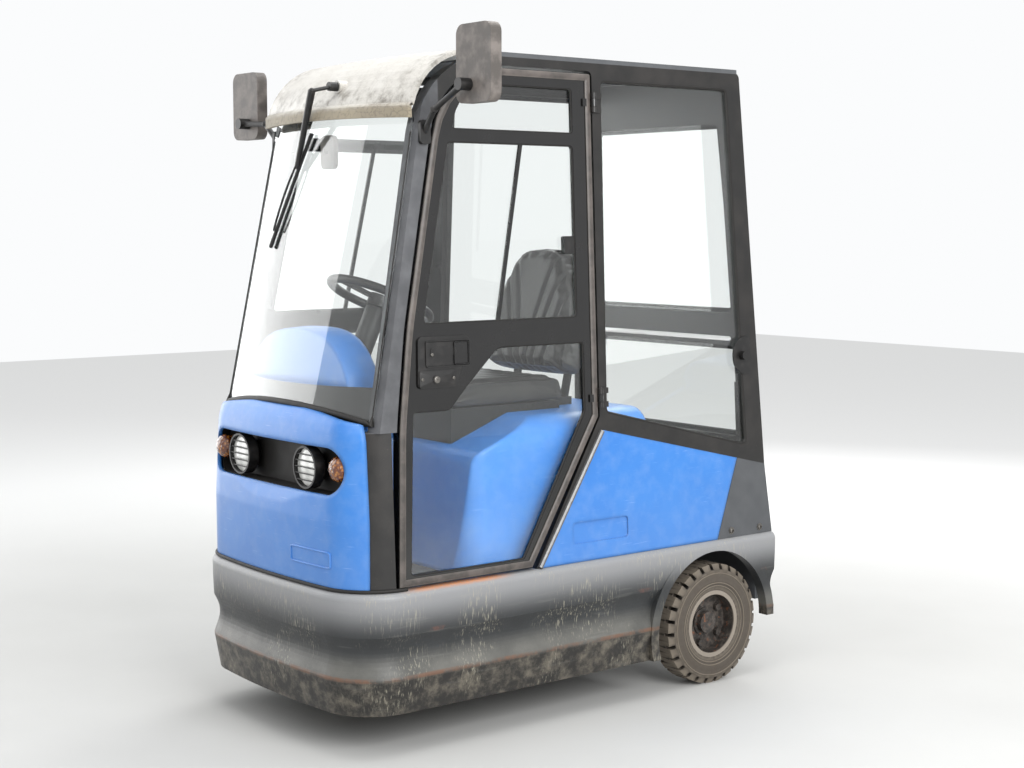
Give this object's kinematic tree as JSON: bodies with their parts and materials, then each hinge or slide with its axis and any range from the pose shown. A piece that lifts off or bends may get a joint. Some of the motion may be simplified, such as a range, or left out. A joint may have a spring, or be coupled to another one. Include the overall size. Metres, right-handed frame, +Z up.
{
  "type": "airport baggage tug",
  "caption": "Compact three-wheeled electric tow tractor with an enclosed glazed cab, hinged doors, steered front wheel, pressed skirt and a rear tow jaw for baggage carts.",
  "frame": {"origin": "on the ground, midway along the length and across the width", "axes": "+X forward, +Y to the driver's left, +Z up"},
  "size_m": [1.8218, 1.415, 2.138],
  "materials": {
    "blue_paint": "worn gloss paint",
    "dark_grey_paint": "scuffed satin paint",
    "black_frame_paint": "satin",
    "chassis_steel": "dusty matt paint",
    "battery_case": "matt",
    "cream_moulding": "weathered, flaking",
    "roof_sheet": "weathered",
    "window_glass": "clear",
    "lamp_glass": "clear, ribbed",
    "amber_lens": "gloss",
    "red_lens": "gloss",
    "black_plastic": "satin",
    "grey_plastic": "mottled, dusty",
    "black_vinyl": "grained vinyl",
    "bare_steel": "worn",
    "tyre_rubber": "dusty",
    "rim_paint": "dusty"
  },
  "bodies": {
    "chassis": {"skirt": "dark_grey_paint", "deck": "chassis_steel", "rear_axle": "chassis_steel", "battery": "battery_case", "tail_panel": "dark_grey_paint", "tail_lamps": "red_lens", "rear_corners": "dark_grey_paint", "quarter_panels": "blue_paint", "seat_hood": "blue_paint", "rear_shelf": "black_frame_paint", "front_cowl": "blue_paint", "lamp_tray": "black_plastic", "head_lamps": "lamp_glass", "lamp_guards": "black_plastic", "indicators": "amber_lens", "cab_side_left": "black_frame_paint", "cab_side_right": "black_frame_paint", "rear_frame": "black_frame_paint", "rear_windows": "window_glass", "side_windows": "window_glass", "window_latches": "black_plastic", "gas_struts": "black_plastic", "roof_panel": "roof_sheet", "roof_cap": "cream_moulding", "windscreen": "window_glass", "dash": "blue_paint", "instrument_panel": "black_plastic", "steering_column": "black_plastic", "pedals": "black_plastic", "seat_base": "chassis_steel", "seat_cushion": "black_vinyl", "seat_back": "black_vinyl", "mirror_arms": "black_plastic", "mirror_heads": "grey_plastic", "wipers": "black_plastic", "inside_mirror": "grey_plastic", "tow_jaw": "chassis_steel", "tow_pin": "bare_steel"},
    "fork": {"fork": "chassis_steel"},
    "front_wheel": {"front_tyre": "tyre_rubber", "front_rim": "rim_paint"},
    "rear_wheel_left": {"rear_tyre_left": "tyre_rubber", "rear_rim_left": "rim_paint"},
    "rear_wheel_right": {"rear_tyre_right": "tyre_rubber", "rear_rim_right": "rim_paint"},
    "steering_wheel": {"steering_wheel": "black_plastic"},
    "door_left": {"door_left": "black_frame_paint", "door_left_glass": "window_glass", "door_left_latch": "black_plastic"},
    "door_right": {"door_right": "black_frame_paint", "door_right_glass": "window_glass", "door_right_latch": "black_plastic"}
  },
  "joints": [
    {"name": "fork_steer", "type": "hinge", "parent": "chassis", "child": "fork", "pos_m": [0.504, 0, 0.206], "axis": [0, 0, 1], "range_deg": [-75, 75]},
    {"name": "front_wheel_spin", "type": "hinge", "parent": "fork", "child": "front_wheel", "pos_m": [0.504, 0, 0.206], "axis": [0, 1, 0], "continuous": true},
    {"name": "rear_wheel_left_spin", "type": "hinge", "parent": "chassis", "child": "rear_wheel_left", "pos_m": [-0.581, 0.416, 0.206], "axis": [0, 1, 0], "continuous": true},
    {"name": "rear_wheel_right_spin", "type": "hinge", "parent": "chassis", "child": "rear_wheel_right", "pos_m": [-0.581, -0.416, 0.206], "axis": [0, 1, 0], "continuous": true},
    {"name": "steering_wheel_turn", "type": "hinge", "parent": "chassis", "child": "steering_wheel", "pos_m": [0.468, 0, 1.329], "axis": [-0.4226, 0, 0.9063], "range_deg": [-540, 540]},
    {"name": "door_left_swing", "type": "hinge", "parent": "chassis", "child": "door_left", "pos_m": [-0.066, 0.43863, 1.48404], "axis": [0, -0.045, 0.999], "range_deg": [0, 100]},
    {"name": "door_right_swing", "type": "hinge", "parent": "chassis", "child": "door_right", "pos_m": [-0.066, -0.43863, 1.48404], "axis": [0, -0.045, -0.999], "range_deg": [0, 100]}
  ],
  "couplings": [
    {"joint": "steering_wheel_turn", "follows": "fork_steer", "ratio": 7.2}
  ]
}
